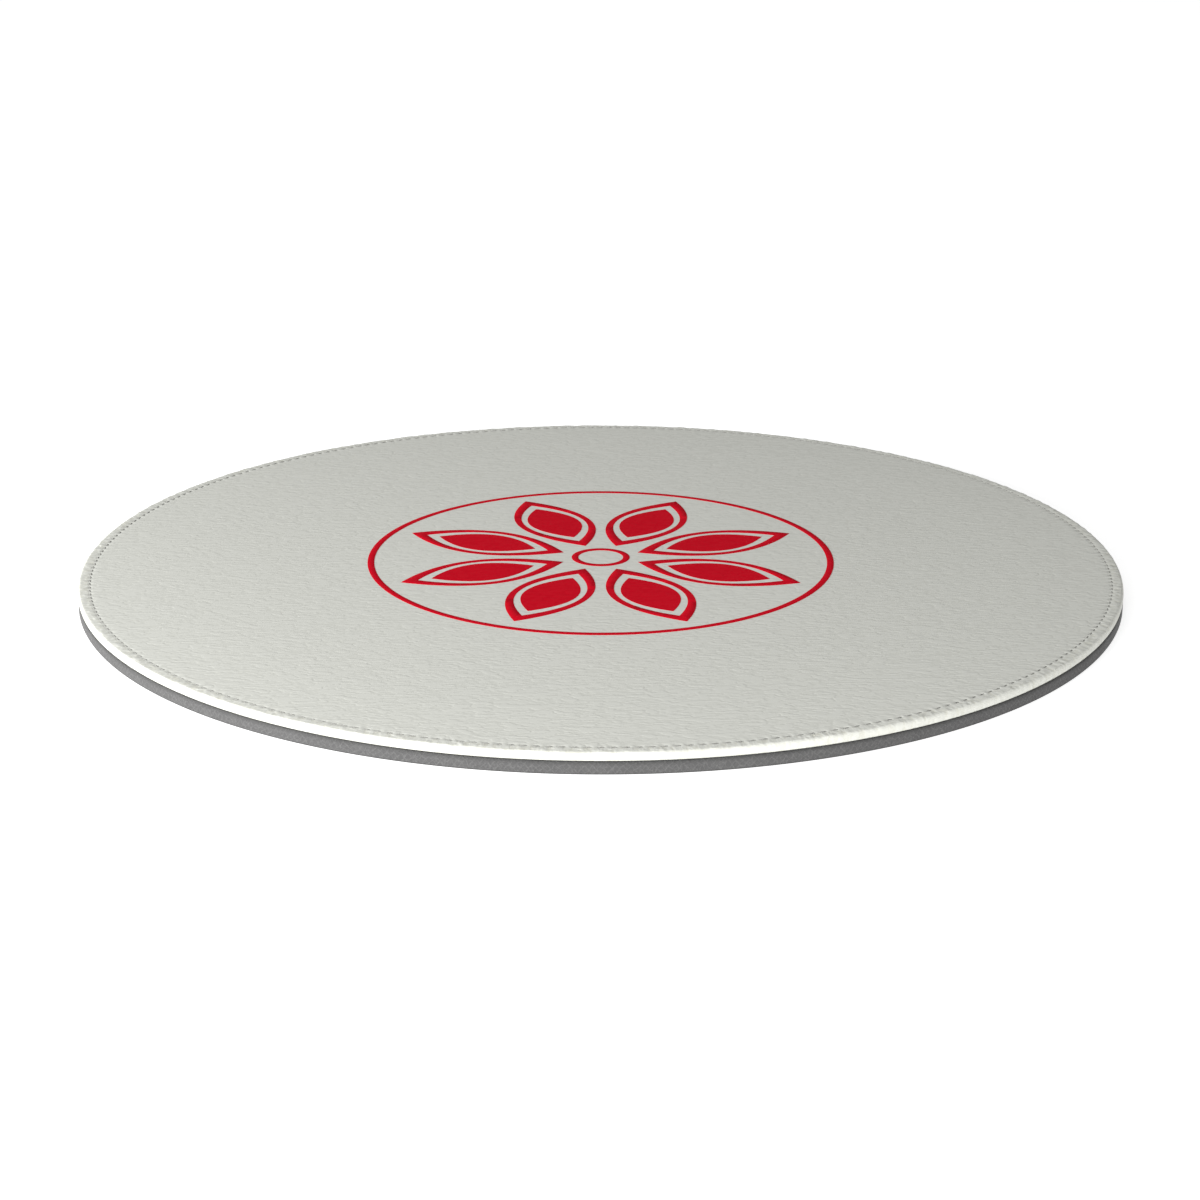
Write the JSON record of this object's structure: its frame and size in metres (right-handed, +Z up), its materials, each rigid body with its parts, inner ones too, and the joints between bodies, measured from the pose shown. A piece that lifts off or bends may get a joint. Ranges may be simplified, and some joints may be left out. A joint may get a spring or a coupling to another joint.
{
  "type": "mouse pad",
  "caption": "Round mouse pad with a leather-faced top, a sewn and rolled rim, a printed rosette and a dark non-slip base that lies flat on a desk.",
  "frame": {"origin": "centre of the pad on the surface that it lies on", "axes": "+Z up out of the face, -Y towards the person who uses the pad, +X to that person's right"},
  "size_m": [0.23, 0.2299, 0.0047],
  "materials": {
    "cover_leather": "fine pebble grain, satin, light warm grey",
    "needle_yarn": "mid grey bonded sewing thread",
    "bobbin_yarn": "grey bonded sewing thread",
    "foam": "closed-cell foam sheet",
    "fibre_board": "pressed fibre board",
    "adhesive": "thin adhesive film",
    "mat_rubber": "dark grey, fine diamond grain, matt",
    "print_film": "red heat-pressed film, satin"
  },
  "bodies": {
    "root": {"base_mat": "mat_rubber", "bonding_film": "adhesive", "stiffener_board": "fibre_board", "foam_pad": "foam", "leather_cover": "cover_leather", "bobbin_thread": "bobbin_yarn", "needle_thread": "needle_yarn", "print_outer_ring": "print_film", "print_hub_ring": "print_film", "print_petal_1": "print_film", "print_petal_core_1": "print_film", "print_petal_2": "print_film", "print_petal_core_2": "print_film", "print_petal_3": "print_film", "print_petal_core_3": "print_film", "print_petal_4": "print_film", "print_petal_core_4": "print_film", "print_petal_5": "print_film", "print_petal_core_5": "print_film", "print_petal_6": "print_film", "print_petal_core_6": "print_film", "print_petal_7": "print_film", "print_petal_core_7": "print_film", "print_petal_8": "print_film", "print_petal_core_8": "print_film"}
  },
  "joints": []
}
